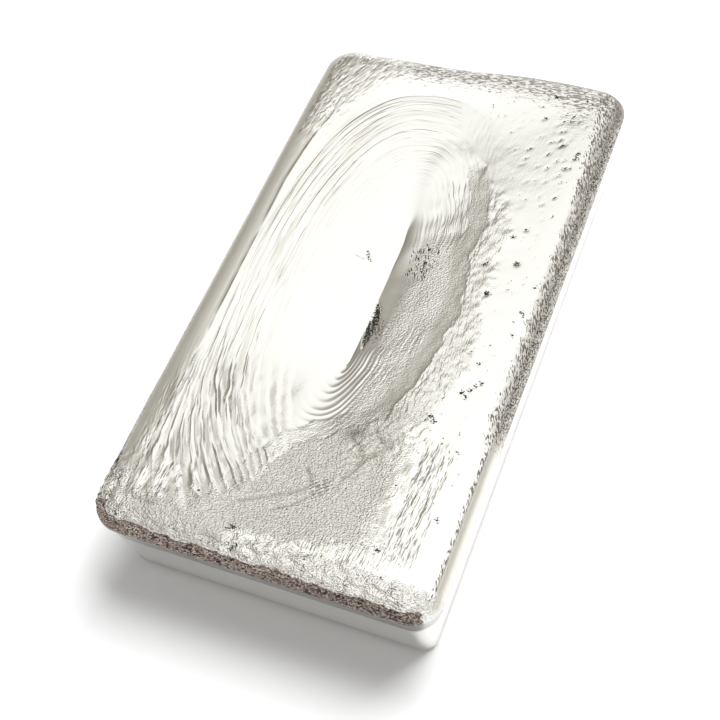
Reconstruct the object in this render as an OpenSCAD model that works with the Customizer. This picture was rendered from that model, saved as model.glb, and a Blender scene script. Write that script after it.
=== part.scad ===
// Cast silver kilobar. It was poured into an open mould, and it lies on the
// face that the mould's floor made. The face that set in the air is on top: a
// rounded rim around a long sink, stepped by the rings of solidification.
// Millimetres, +Z up, +Y along the bar, origin at the middle of the foot.

/* [Bar] */
// Length over the rim
rim_l = 102; // [80:0.2:140]
// Width over the rim
rim_w = 55.3; // [44:0.5:70]
// Height from the foot to the crest of the rim
bar_h = 19.2; // [12:0.1:24]

/* [Mould] */
// Draft of the mould's walls, in degrees
draft = 6.5; // [4:0.5:12]
// Radius between the foot and the walls
foot_r = 1.4; // [0.6:0.1:2.2]

/* [Rim] */
// How far the rim stands out over the wall
lip_out = 0.5; // [0.2:0.1:1]
// Height of the lip's edge, where it stands upright
lip_t = 0.7; // [0.3:0.1:1.2]
// Height of the rim, from the wall's top to the crest
rim_h = 3.9; // [2.4:0.1:5]
// Width over which the rim rounds up to the crest
rim_round = 4.2; // [3:0.1:5.5]
// Plan radius that the corners keep inside the rim's round
corner_in = 0.6; // [0.4:0.1:6]
// Width of the crest between the rim's round and the hollowed face
crest_w = 0.8; // [0.4:0.1:2]

/* [Sink] */
// Depth of the trough under the crest
sink_depth = 3.5; // [1.5:0.1:4.5]
// Width of the shelf between the crest and the sink, on the side that set last
shelf_w = 8.4; // [2:0.2:12]
// Width of the shelf at both ends
end_shelf_w = 3.6; // [1:0.2:10]
// How far the shelf falls from the crest to the sink's edge
shelf_fall = 0.7; // [0.2:0.1:1.2]
// Length of the trough, where the metal set last
trough_l = 24; // [10:0.5:34]
// Width of the trough
trough_w = 1; // [0.6:0.1:3]
// Where the trough lies across the sink: 0 is its left edge and 1 its right
trough_at = 0.64; // [0.3:0.02:0.74]
// Rings between the sink's edge and the trough
ring_count = 18; // [6:1:22]
// Height of each ring's ridge over the groove inside it
ring_relief = 0.2; // [0.04:0.02:0.3]

/* [Hidden] */

silver = [0.86, 0.85, 0.83];
ring_points = 72;     // points around each ring
arc_steps = 8;        // straight steps in each rounded part of the section
crest_power = 9;      // how square the hollowed face's edge is; 2 is an ellipse
sink_power = 2.5;     // how square the sink's edge is
groove_at = 0.6;      // where a ring's groove lies, from its ridge to the next
bowl_power = 1.2;     // over 1, the sink falls faster near the trough
cut_rise = 0.2;       // how far the cutter stands over the crest

wall_top = bar_h - rim_h;
corner_r = rim_round + corner_in;
core_l = rim_l - 2 * corner_r;
core_w = rim_w - 2 * corner_r;
wall_top_u = corner_r - lip_out;
foot_u = wall_top_u - wall_top * tan(draft);
foot_round = min(foot_r, foot_u * 0.8);

face_w = rim_w - 2 * (rim_round + crest_w);
face_l = rim_l - 2 * (rim_round + crest_w);
sink_w = face_w - shelf_w;
sink_l = face_l - 2 * end_shelf_w;
sink_left = -face_w / 2;
trough_x = sink_left + sink_w * trough_at;

// The section of the bar's edge, from the foot up over the rim to the crest.
// u is measured outwards from the corner's own axis and z from the foot.
foot_arc = let (u = foot_u - foot_round * (1 - sin(draft)) / cos(draft))
    [for (i = [0 : arc_steps]) let (turn = (90 - draft) * i / arc_steps - 90)
        [u + foot_round * cos(turn), foot_round + foot_round * sin(turn)]];
rim_arc = [for (i = [0 : arc_steps]) let (turn = 90 * i / arc_steps)
    [corner_r - rim_round * (1 - cos(turn)), wall_top + lip_t + (rim_h - lip_t) * sin(turn)]];
edge_section = concat([[0, 0]], foot_arc, [[wall_top_u, wall_top]], rim_arc, [[0, bar_h]]);

// One corner: the edge's section turned a quarter about the corner's axis.
module edge_corner() {
    rotate_extrude(angle = 90, $fn = 96) polygon(edge_section);
}

// One straight edge: the same section carried along -X, facing +Y.
module edge_run(run_l) {
    translate([-run_l, 0, 0]) rotate([90, 0, 90])
        linear_extrude(run_l) polygon(edge_section);
}

// The bar as the mould and the rim give it, with its top flat at the crest.
module poured_bar() {
    translate([-core_w / 2, -core_l / 2, 0]) cube([core_w, core_l, bar_h]);
    for (i = [0 : 3])
        let (sx = (i == 0 || i == 3) ? 1 : -1, sy = i < 2 ? 1 : -1)
            translate([sx * core_w / 2, sy * core_l / 2, 0]) rotate(90 * i) {
                edge_corner();
                edge_run(i % 2 == 0 ? core_w : core_l);
            }
}

// A level ring of the hollowed face: a superellipse, w wide and l long, with
// its middle at x on the bar's long axis. Power 2 is an ellipse.
function signed_power(v, p) = sign(v) * pow(abs(v), p);
function ring(x, w, l, power, z) =
    [for (i = [0 : ring_points - 1]) let (turn = 360 * i / ring_points)
        [x + w / 2 * signed_power(cos(turn), 2 / power),
         l / 2 * signed_power(sin(turn), 2 / power), z]];

// A ring of the sink itself: t is 0 at its edge and 1 at the trough.
function mix(a, b, t) = a + (b - a) * t;
function sink_z(t) = bar_h - mix(shelf_fall, sink_depth, pow(t, bowl_power));
function sink_ring(t, drop) =
    ring(mix(sink_left + sink_w / 2, trough_x, t), mix(sink_w, trough_w, t),
         mix(sink_l, trough_l, t), mix(sink_power, 2, t), sink_z(t) - drop);

// The cutter's rings from the top down. It starts wider and over the crest, so
// that it leaves the crest at a slant. In the sink a groove follows each ridge.
cutter_rings = concat(
    [ring(0, face_w + 2 * crest_w, face_l + 2 * crest_w, crest_power, bar_h + cut_rise)],
    [ring(0, face_w, face_l, crest_power, bar_h - shelf_fall / 4)],
    [for (k = [0 : ring_count - 1], groove = [0, 1])
        sink_ring((k + groove * groove_at) / ring_count, groove * ring_relief)],
    [sink_ring(1, 0)]
);

// The hollowed face, as the solid that it leaves empty: rings joined in turn.
module hollow() {
    n = ring_points;
    last = len(cutter_rings) - 1;
    polyhedron(
        points = [for (level = cutter_rings) each level],
        faces = concat(
            [[for (i = [n - 1 : -1 : 0]) i]],
            [for (k = [0 : last - 1], i = [0 : n - 1])
                let (j = (i + 1) % n, here = k * n, next = here + n)
                each [[here + i, here + j, next + i], [here + j, next + j, next + i]]],
            [[for (i = [0 : n - 1]) last * n + i]]
        )
    );
}

module ingot() {
    color(silver) difference() {
        poured_bar();
        hollow();
    }
}

ingot();
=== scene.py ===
"""A cast silver kilobar, lying on its mould face with its open face up.

The bar is one surface: closed rows of points from the trough in the middle of
the hollowed face, out over the sink's rings, the shelf and the rim, down the
mould's walls and in under the foot. Relief is then raised along its normals.
Lengths in the functions are millimetres in the frame's own axes: x from the
bar's middle to its right side, y to its far end and z up from its foot. Where
a function places a mark, its numbers say where that mark lies on the real bar.
"""

import math
from types import SimpleNamespace

import bpy
import numpy as np
from bpy.props import (
    FloatProperty, FloatVectorProperty, IntProperty, PointerProperty,
)
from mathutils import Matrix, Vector


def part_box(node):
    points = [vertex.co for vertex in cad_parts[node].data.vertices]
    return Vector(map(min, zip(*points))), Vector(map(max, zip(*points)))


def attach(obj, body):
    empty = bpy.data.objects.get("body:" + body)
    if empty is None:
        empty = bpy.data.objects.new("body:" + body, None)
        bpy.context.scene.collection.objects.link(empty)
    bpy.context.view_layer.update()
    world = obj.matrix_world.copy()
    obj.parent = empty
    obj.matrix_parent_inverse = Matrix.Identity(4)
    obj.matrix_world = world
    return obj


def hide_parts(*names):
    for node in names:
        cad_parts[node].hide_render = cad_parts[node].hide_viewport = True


bl_info = {
    "name": "Cast silver bar",
    "version": (1, 0, 0),
    "blender": (4, 5, 0),
    "location": "View3D > Sidebar > Silver bar",
    "description": "Builds a cast silver bar with a ringed sink, and its studio",
    "category": "Add Mesh",
}

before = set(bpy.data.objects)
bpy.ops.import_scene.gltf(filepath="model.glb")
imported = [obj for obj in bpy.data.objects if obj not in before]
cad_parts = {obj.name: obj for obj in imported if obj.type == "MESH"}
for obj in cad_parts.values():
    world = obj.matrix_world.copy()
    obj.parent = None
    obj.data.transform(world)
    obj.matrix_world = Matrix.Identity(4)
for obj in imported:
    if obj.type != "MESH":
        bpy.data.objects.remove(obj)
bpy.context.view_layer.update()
NODE = "ingot"
PIECE = "ingot_casting"
MM = 0.001
NODE_LOW, NODE_HIGH = (np.array(corner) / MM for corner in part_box(NODE))
BAR_W, BAR_L, BAR_H = (float(v) for v in NODE_HIGH - NODE_LOW)


# Sizes and colours that a user would change

class MouldSizes(bpy.types.PropertyGroup):
    """What the mould and the pour give: walls, corners, foot and rim."""

    draft: FloatProperty(
        name="Draft", description="Slope of the walls from upright",
        default=math.radians(6.5), unit="ROTATION")
    foot_r: FloatProperty(
        name="Foot radius", description="Radius between foot and walls",
        default=1.4 * MM, unit="LENGTH")
    lip_out: FloatProperty(
        name="Lip", description="How far the rim stands out over the wall",
        default=0.5 * MM, unit="LENGTH")
    lip_t: FloatProperty(
        name="Lip height", description="Height of the lip's upright edge",
        default=0.7 * MM, unit="LENGTH")
    rim_h: FloatProperty(
        name="Rim height", description="From the wall's top to the crest",
        default=3.9 * MM, unit="LENGTH")
    rim_round: FloatProperty(
        name="Rim round", description="Width over which the rim rounds up",
        default=4.2 * MM, unit="LENGTH")
    corner_in: FloatProperty(
        name="Corner", description="Plan radius that corners keep inside the round",
        default=0.6 * MM, unit="LENGTH")
    crest_w: FloatProperty(
        name="Crest", description="Width of the crest inside the rim's round",
        default=0.8 * MM, unit="LENGTH")
    crest_corner: FloatProperty(
        name="Crest corner", description="Plan radius of the crest's corners",
        default=3.0 * MM, unit="LENGTH")


class SinkSizes(bpy.types.PropertyGroup):
    """The hollowed face: shelf, sink, trough and rings."""

    depth: FloatProperty(
        name="Depth", description="Depth of the trough under the crest",
        default=3.5 * MM, unit="LENGTH")
    shelf_w: FloatProperty(
        name="Shelf", description="Width of the shelf on the right",
        default=8.4 * MM, unit="LENGTH")
    end_shelf_w: FloatProperty(
        name="End shelf", description="Width of the shelf at both ends",
        default=3.6 * MM, unit="LENGTH")
    shelf_fall: FloatProperty(
        name="Shelf fall", description="Fall from the crest to the sink's edge",
        default=0.7 * MM, unit="LENGTH")
    trough_l: FloatProperty(
        name="Trough length", description="Length of the trough in the middle",
        default=24.0 * MM, unit="LENGTH")
    trough_at: FloatProperty(
        name="Trough place", description="0 at the sink's left edge, 1 at its right",
        default=0.61, min=0.3, max=0.74)
    rings: IntProperty(
        name="Rings", description="Rings from the sink's edge to the trough",
        default=21, min=12)
    ring_relief: FloatProperty(
        name="Ring relief", description="Height of a ring over its groove",
        default=0.09 * MM, unit="LENGTH")


class SilverFinish(bpy.types.PropertyGroup):
    """Colours of the metal and of the scab on its rim."""

    silver: FloatVectorProperty(
        name="Silver", description="Colour of the bare metal", size=3,
        default=(0.94, 0.93, 0.90), subtype="COLOR")
    # The satin colour also paints shade: thin shadow lines along the rings, the folds' valleys and
    # the bank under the shore.
    satin_and_shade: FloatVectorProperty(
        name="Satin", description="Colour of the dull skin", size=3,
        default=(0.80, 0.785, 0.725), subtype="COLOR")
    # The tarnish colour also paints shade: in the folds' valleys and along their lines, in the
    # creases and in the hollow at the near end of the rings.
    tarnish_and_shade: FloatVectorProperty(
        name="Tarnish", description="Colour of the tarnished strokes and lines", size=3,
        default=(0.26, 0.23, 0.20), subtype="COLOR")
    # The pit colour also paints the pocket beside the trough black, as its shadow.
    pit: FloatVectorProperty(
        name="Pit", description="Colour in the pits", size=3,
        default=(0.015, 0.015, 0.014), subtype="COLOR")
    scab_dark: FloatVectorProperty(
        name="Scab, dark", description="Darker colour of the oxide scab", size=3,
        default=(0.022, 0.015, 0.012), subtype="COLOR")
    scab_brown: FloatVectorProperty(
        name="Scab, brown", description="Main colour of the oxide scab", size=3,
        default=(0.31, 0.23, 0.185), subtype="COLOR")
    scab_light: FloatVectorProperty(
        name="Scab, light", description="Colour of the scab's pale flecks", size=3,
        default=(0.68, 0.60, 0.52), subtype="COLOR")


class StudioSettings(bpy.types.PropertyGroup):
    """Camera, floor and light."""

    camera_place: FloatVectorProperty(
        name="Camera place", description="Where the camera stands", size=3,
        default=(0.06249, -0.10509, 0.17809), unit="LENGTH")
    camera_turn: FloatVectorProperty(
        name="Camera turn", description="The camera's turn about X, Y and Z", size=3,
        default=tuple(math.radians(a) for a in (33.476, 8.785, 21.992)), subtype="EULER")
    lens: FloatProperty(
        name="Lens", description="Focal length on a 36 mm frame",
        default=62.9, unit="CAMERA")
    shift: FloatVectorProperty(
        name="Shift", description="How far the picture's middle is off the lens's axis",
        size=2, default=(0.0299, 0.005))
    floor_colour: FloatVectorProperty(
        name="Floor", description="Colour of the floor", size=3,
        default=(0.86, 0.86, 0.86), subtype="COLOR")
    floor_half: FloatProperty(
        name="Floor reach", description="How far the floor reaches on each side",
        default=1.5, unit="LENGTH")
    lamp_place: FloatVectorProperty(
        name="Lamp place", description="Where the soft lamp hangs", size=3,
        default=(0.12, 0.27, 0.54), unit="LENGTH")
    lamp_size: FloatProperty(
        name="Lamp size", description="Width of the lamp's square face",
        default=0.40, unit="LENGTH")
    lamp_power: FloatProperty(
        name="Lamp power", description="Power of the soft lamp",
        default=6.0, unit="POWER")


def in_mm(group):
    """A group's settings as plain numbers, with its lengths in mm."""
    plain = {}
    for key in group.__annotations__:
        is_length = group.bl_rna.properties[key].unit == "LENGTH"
        plain[key] = getattr(group, key) / MM if is_length else getattr(group, key)
    return SimpleNamespace(**plain)


# Working arrays: blends, noise and distances

def mix(a, b, t):
    """The straight blend a + (b - a) t."""
    return a + (b - a) * t


def smooth(low, high, v):
    """0 at low, 1 at high, and 3t^2 - 2t^3 between them; low may be the larger."""
    t = np.clip((v - low) / (high - low), 0.0, 1.0)
    return t * t * (3 - 2 * t)


def band(v, low, high, soft):
    """1 between low and high and 0 outside, blended over soft each way at both."""
    return smooth(low - soft, low + soft, v) * smooth(high + soft, high - soft, v)


def bell(distance, width):
    """A bell over a distance: exp(-(distance / width)^2)."""
    return np.exp(-(distance / width) ** 2)


def bump(x, y, at_x, at_y, radius):
    """A round bell at a place: exp(-(r / radius)^2)."""
    return np.exp(-((x - at_x) ** 2 + (y - at_y) ** 2) / radius ** 2)


def turned_place(x, y, middle, heading):
    """Way along a heading (cosine, sine) and across it to the left, from a middle."""
    (at_x, at_y), (c, s) = middle, heading
    return c * (x - at_x) + s * (y - at_y), c * (y - at_y) - s * (x - at_x)


def noise(x, y, seed):
    """Gradient noise, about -1 to 1. Each corner of a unit cell holds a slope of
    random direction, and the four planes are blended by 6t^5 - 15t^4 + 10t^3."""
    size = 64
    turn = np.random.default_rng(seed).uniform(0, 2 * np.pi, (size, size))
    x0, y0 = np.floor(x).astype(int), np.floor(y).astype(int)
    fx, fy = x - x0, y - y0

    def plane(i, j):
        angle = turn[(x0 + i) % size, (y0 + j) % size]
        return np.cos(angle) * (fx - i) + np.sin(angle) * (fy - j)

    wx, wy = (t * t * t * (t * (6 * t - 15) + 10) for t in (fx, fy))
    low = mix(plane(0, 0), plane(1, 0), wx)
    high = mix(plane(0, 1), plane(1, 1), wx)
    return 1.6 * mix(low, high, wy)


def rough(x, y, seed, octaves=3):
    """Noise added to itself at twice the pitch and half the height each time."""
    total = sum(noise(x * 2 ** k, y * 2 ** k, seed + k) / 2 ** k for k in range(octaves))
    return total / (2 - 2 ** (1 - octaves))


def strokes(x, y, heading, long, wide, seed):
    """Noise drawn out along a heading (degrees from +X), long by wide mm."""
    turn = math.radians(heading)
    along, across = turned_place(x, y, (0, 0), (math.cos(turn), math.sin(turn)))
    return noise(along / long, across / wide, seed)


def crinkle(x, y, seed):
    """Sharp folds with round backs between them: 1 - 2 |noise|."""
    return 1 - 2 * np.abs(noise(x, y, seed))


def sink_norm(x, y):
    """The superellipse norm ((|x/a|)^p + (|y/b|)^p)^(1/p) of a place from the sink's
    middle: 0 there and 1 at the sink's edge."""
    across, along = (x - SINK_MIDDLE) / SINK_HALF_W, y / SINK_HALF_L
    return (np.abs(across) ** SINK_POWER + np.abs(along) ** SINK_POWER) ** (1 / SINK_POWER)


def ring_place(x, y):
    """Way round the sink, the angle times a radius, and way out from its middle,
    its half width times the norm. The angle's seam lies at the near end."""
    across, along = (x - SINK_MIDDLE) / SINK_HALF_W, y / SINK_HALF_L
    return DASH_R * np.arctan2(-across, along), SINK_HALF_W * sink_norm(x, y)


def signed_distance(x, y, path):
    """Distance to an open path of straight legs, positive on its left-hand side:
    the nearest of the legs' own distances, with the sign of the cross product."""
    best = np.full(x.shape, np.inf)
    signed = np.zeros(x.shape)
    for (ax, ay), (bx, by) in zip(path[:-1], path[1:]):
        dx, dy = bx - ax, by - ay
        along = np.clip(((x - ax) * dx + (y - ay) * dy) / (dx * dx + dy * dy), 0, 1)
        gap_x, gap_y = x - ax - along * dx, y - ay - along * dy
        gap = np.hypot(gap_x, gap_y)
        side = np.sign(gap_y * dx - gap_x * dy)
        nearer = gap < best
        best = np.where(nearer, gap, best)
        signed = np.where(nearer, side * gap, signed)
    return signed


# The bar's rows of points

COLUMNS = 600           # points around each row
CORNER_POINTS = 25      # points in each corner of an outline, before its even steps
FINE_POINTS = 2881      # points around a superellipse, before its even steps
OUTER_RINGS = 7         # rings at the sink's edge, which are the sharpest
OUTER_STEPS = 8         # rows in each of those
INNER_STEPS = 3         # rows in each ring inside them
SHELF_ROWS = 28
CREST_ROWS = 3
RIM_ROWS = 22
WALL_ROWS = 3
FOOT_ROWS = 5
UNDER_ROWS = 2
LEDGE = 0.6             # width between the sink and the crest on the left
CREST_Z = BAR_H - 0.2   # leaves room for the relief under the CAD's crest
SINK_POWER = 2.5        # how square the sink's edge is; 2 is an ellipse
SINK_MIDDLE = -4.0      # middle and half sizes of the sink, as its marks lie
SINK_HALF_W = 18.5
SINK_HALF_L = 43.0
DRUM_R = 32.0           # radius of the drum that the ring marks run round
DASH_R = 30.0           # the same for the dashes round the far left corner


def even_steps(x, y, *others):
    """x, y and what else goes with them, at even steps of the closed outline's own
    length."""
    run = np.concatenate([[0.0], np.cumsum(np.hypot(np.diff(x), np.diff(y)))])
    at = np.arange(COLUMNS) / COLUMNS * run[-1]
    return [np.interp(at, run, values) for values in (x, y, *others)]


def rounded_outline(width, length, radius):
    """Points and outward normals of a rounded rectangle, anticlockwise from the
    middle of the right side. Each corner is an arc about its centre:
    centre + radius (cos a, sin a)."""
    corners = (np.linspace(q, q + 1, CORNER_POINTS) for q in range(4))
    angle = np.concatenate([[0.0], *corners, [4.0]]) * np.pi / 2
    quarter = np.concatenate([[0], np.repeat(range(4), CORNER_POINTS), [0]])
    side_x = np.where((quarter == 0) | (quarter == 3), 1, -1)
    side_y = np.where(quarter < 2, 1, -1)
    x = side_x * (width / 2 - radius) + radius * np.cos(angle)
    y = side_y * (length / 2 - radius) + radius * np.sin(angle)
    y[0] = y[-1] = 0.0
    x, y, facing = even_steps(x, y, angle)
    return np.stack([x, y], -1), np.stack([np.cos(facing), np.sin(facing)], -1)


def ring_outline(middle_x, width, length, power):
    """A superellipse at even steps of its own length: |x/a|^p + |y/b|^p = 1."""
    turn = np.linspace(0, 2 * np.pi, FINE_POINTS)
    c, s = np.cos(turn), np.sin(turn)
    x = width / 2 * np.sign(c) * np.abs(c) ** (2 / power)
    y = length / 2 * np.sign(s) * np.abs(s) ** (2 / power)
    x, y = even_steps(x, y)
    return np.stack([middle_x + x, y], -1)


def ring_places(rings):
    """Where the rings' grooves lie, from 0 at the sink's edge to 1 at the trough,
    unevenly spaced as they are in the metal."""
    shift = np.random.default_rng(11).uniform(-0.3, 0.3, rings + 1)
    shift[[0, -1]] = 0.0
    return (np.arange(rings + 1) + shift) / rings


def sink_rows(sink, face_w, face_l):
    """Plans of the sink's rows from the trough to its edge, the trough's line, and
    for each row its place t, its place between two grooves and its ring. The rows
    waver a little, most half way down the sink."""
    places = ring_places(sink.rings)
    width, length = face_w - sink.shelf_w - LEDGE, face_l - 2 * sink.end_shelf_w
    left = -face_w / 2 + LEDGE
    trough_x = left + width * sink.trough_at
    steps = [OUTER_STEPS] * OUTER_RINGS + [INNER_STEPS] * (sink.rings - OUTER_RINGS)
    phase = np.concatenate([np.arange(n) / n for n in steps])
    ring = np.repeat(np.arange(sink.rings), steps)
    t = mix(places[ring], places[ring + 1], phase)
    order = np.argsort(-t)
    t, phase, ring = t[order], phase[order], ring[order]
    plans = np.array([
        ring_outline(mix(left + width / 2, trough_x, place), mix(width, 0.0, place),
                     mix(length, sink.trough_l, place), mix(SINK_POWER, 2.0, place))
        for place in t])
    x, y = plans[..., 0], plans[..., 1]
    give = (4 * t * (1 - t))[:, None] * mix(0.25, 0.6, smooth(2, 6, x))
    wander = np.stack([rough(x / 5, y / 5, 51, 2), rough(x / 5, y / 5, 52, 2)], -1)
    line_y = np.linspace(-sink.trough_l / 2, sink.trough_l / 2, COLUMNS // 2 + 1)
    line = [np.full_like(line_y, trough_x), line_y, np.full_like(line_y, CREST_Z - sink.depth)]
    return plans + give[..., None] * wander, np.stack(line, -1), t, phase, ring


def rows_at(plans, height):
    """Rows of x, y, z from plans and the heights that go with them."""
    height = np.broadcast_to(height, plans.shape[:2])
    return np.concatenate([plans, height[..., None]], -1)


def face_rows(mould, sink):
    """The sink's and the shelf's rows, the trough's line, and what the sink's rows
    are. The sink falls to the trough by t^1.2. The shelf is the straight blend from
    the sink's edge to the crest, and falls by (1 - share)^1.4."""
    inset = mould.rim_round + mould.crest_w
    face_w, face_l = BAR_W - 2 * inset, BAR_L - 2 * inset
    crest = rounded_outline(face_w, face_l, mould.crest_corner)[0]
    plans, trough, t, phase, ring = sink_rows(sink, face_w, face_l)
    fall = sink.shelf_fall * mix(1.0, 0.5, smooth(-14, -22, plans[..., 0]))
    basin = rows_at(plans, CREST_Z - mix(fall, sink.depth, t[:, None] ** 1.2))
    share = np.arange(1, SHELF_ROWS + 1)[:, None] / SHELF_ROWS
    shelf = rows_at(mix(plans[-1], crest, share[..., None]),
                    CREST_Z - fall[-1] * (1 - share) ** 1.4)
    return basin, shelf, trough, t, phase, ring


def edge_section(mould):
    """The bar's edge from the crest down to the foot, as inset from the rim's
    outline and height: a quarter ellipse for the rim, the lip turned in under it,
    the drafted wall and a round into the foot. Also how many rows the rim takes."""
    wall_top = BAR_H - mould.rim_h
    lean = math.tan(mould.draft)
    turn = np.linspace(np.pi / 2, 0, RIM_ROWS)
    rim = np.stack([mould.rim_round * (1 - np.cos(turn)),
                    mix(wall_top + mould.lip_t, CREST_Z, np.sin(turn))], -1)
    crest = [(mould.rim_round + mould.crest_w * (1 - k / CREST_ROWS), CREST_Z)
             for k in range(1, CREST_ROWS)]
    lip = [(0.05, wall_top + 0.35 * mould.lip_t), (0.28, wall_top + 0.05)]
    foot_inset = mould.lip_out + wall_top * lean
    round_in = foot_inset + mould.foot_r * (1 - math.sin(mould.draft)) / math.cos(mould.draft)
    low = np.linspace(np.pi / 2 - mould.draft, 0, FOOT_ROWS)
    foot = np.stack([round_in - mould.foot_r * np.sin(low),
                     mould.foot_r * (1 - np.cos(low))], -1)
    height = np.linspace(wall_top, foot[0, 1], WALL_ROWS + 1)[:-1]
    wall = np.stack([mould.lip_out + (wall_top - height) * lean, height], -1)
    return np.concatenate([crest, rim, lip, wall, foot]), len(crest) + len(rim) + len(lip)


def rim_waves(x, y):
    """How far the mould left the outline short of its full size, in mm: slow waves
    and a hollow in the far side."""
    slow = 0.06 + 0.06 * rough(x / 11, y / 11, 61, 2)
    return slow + 0.08 * bump(x, y, -9, BAR_L / 2, 13)


def rim_fullness(x, y):
    """How much fuller than a quarter ellipse the rim's round is, in mm at its middle."""
    return 0.40 * smooth(-20, -26, x) + 0.60 * smooth(44, 50, y) * band(x, 4, 21, 6)


def side_rows(mould):
    """Rows from the crest to the foot, and how many of them the rim takes: the edge
    section's loops, whose corners tighten up to the crest's, pushed along the
    outline's normals by the rim's fullness times a sine less the waves."""
    inset = mould.rim_round + mould.crest_w
    corner_r = mould.rim_round + mould.corner_in
    section, n_rim = edge_section(mould)
    tightening = np.ones(len(section))
    tightening[:n_rim] = (corner_r - mould.crest_corner) / inset
    loops = np.array([
        rounded_outline(BAR_W - 2 * inward, BAR_L - 2 * inward, corner_r - inward * tight)[0]
        for inward, tight in zip(section[:, 0], tightening)])
    outline, normal = rounded_outline(BAR_W, BAR_L, corner_r)
    high = smooth(2, BAR_H - mould.rim_h, section[:, 1:])
    bulge = np.zeros_like(high)
    first = CREST_ROWS - 1
    bulge[first:first + RIM_ROWS, 0] = np.sin(np.linspace(np.pi, 0, RIM_ROWS))
    push = bulge * rim_fullness(*outline.T) - high * rim_waves(*outline.T)
    return rows_at(loops + push[..., None] * normal, section[:, 1:]), n_rim


def under_rows(foot):
    """Rows under the foot, straight blends from its last loop to a line along the
    bar's middle, and that line."""
    half_line = (BAR_L - BAR_W) / 2
    spine_y = np.linspace(-half_line, half_line, COLUMNS // 2 + 1)
    spine = np.stack([np.zeros_like(spine_y), spine_y, np.zeros_like(spine_y)], -1)
    inward = np.linspace(0, 1, UNDER_ROWS + 2)[1:-1, None, None]
    return mix(foot, spine[fold_index()], inward), spine


def lay_surface(mould, sink):
    """The bar before its relief: its rows of points and the two lines that close
    them, which rows each part holds, the sink rows' places between two grooves and
    their rings, and each point's place on the drum that the ring marks run round."""
    basin, shelf, trough, t, phase, ring = face_rows(mould, sink)
    sides, n_rim = side_rows(mould)
    under, spine = under_rows(sides[-1])
    parts = {"sink": basin, "shelf": shelf, "rim": sides[:n_rim], "wall": sides[n_rim:],
             "under": under}
    part, end = {}, 0
    for name, some_rows in parts.items():
        part[name] = slice(end, end + len(some_rows))
        end += len(some_rows)
    rows = np.concatenate(list(parts.values()))
    out = SINK_HALF_W * sink_norm(rows[..., 0], rows[..., 1])
    out[part["sink"]] = SINK_HALF_W * (1 - t[:, None])
    angle = 2 * np.pi * np.arange(COLUMNS) / COLUMNS
    drum = np.broadcast_arrays(DRUM_R * np.cos(angle), DRUM_R * np.sin(angle), out)
    top = rows[:part["rim"].stop]
    top[..., 2] = ground_fall(*np.moveaxis(top, -1, 0))
    return {"rows": rows, "trough": trough, "spine": spine, "part": part, "phase": phase,
            "ring": ring, "drum": np.stack(drum, -1)}


def fold_index():
    """Which point of a closing line each column meets: columns on the two sides
    of the bar at the same height along it share one."""
    column = np.arange(COLUMNS)
    quarter = COLUMNS // 4
    wrapped = np.where(column > 3 * quarter, column - COLUMNS, column)
    return np.where(wrapped > quarter, 2 * quarter - wrapped, wrapped) + quarter


def row_faces(n_rows):
    """Quads between neighbouring rows, then the two closing lines' quads. Rows run
    outwards and down, so each quad is wound to face out of the metal."""
    column = np.arange(COLUMNS)
    after = (column + 1) % COLUMNS
    row = np.arange(n_rows - 1)[:, None] * COLUMNS
    quads = np.stack([row + column, row + COLUMNS + column, row + COLUMNS + after, row + after], -1)
    fold = fold_index()
    first_line = n_rows * COLUMNS
    spine_line = first_line + COLUMNS // 2 + 1
    last = (n_rows - 1) * COLUMNS
    trough = np.stack([first_line + fold, column, after, first_line + fold[after]], -1)
    spine = np.stack([last + column, spine_line + fold, spine_line + fold[after], last + after], -1)
    return np.concatenate([trough, quads.reshape(-1, 4), spine])


def row_normals(rows):
    """Unit normals of the rows: the cross product of the run around and the run
    outwards, each taken between a point's two neighbours."""
    around = np.roll(rows, -1, 1) - np.roll(rows, 1, 1)
    outward = np.gradient(rows, axis=0)
    across = np.cross(outward, around)
    return across / np.maximum(np.linalg.norm(across, axis=-1, keepdims=True), 1e-9)


# Relief. Each function gives heights in mm, along the normal, on the plan x, y, or
# a field: how much of something lies at each place, from 0 to 1. The seed in a call
# of noise, rough, crinkle or strokes picks its pattern

CORNER_R = 4.8          # plan radius of the rim's corners
LIP_Z = 15.8            # the relief of the rim fades out down to this height
FOLDS_FROM = -20.0      # y where the near folds' starts are given
BANK_RISE = 0.42        # how high the skin at the shore stands over the sink
STEP_RISE = 0.08        # the ridge on the low side of the left shoulder's step
STEP_DEPTH = 0.12       # the groove along that step
CONTOUR_RISE = 0.28     # the waves beside the shore at the near end
RIDGE_DEPTH = 0.40      # the grooves between the ridges at the near right
CREASE_DEPTH = 0.32     # the long creases of the near floor
POCKET_DEPTH = 0.35     # the dark pocket beside the trough
SHADED_HOLLOW_DEPTH = 0.25      # the hollow at the near end of the rings, darkened by painted shade
PIT_DEPTH = 0.15
SCAB_DEPTH = 0.12       # how far the scab lies under the rim's own level

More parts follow.
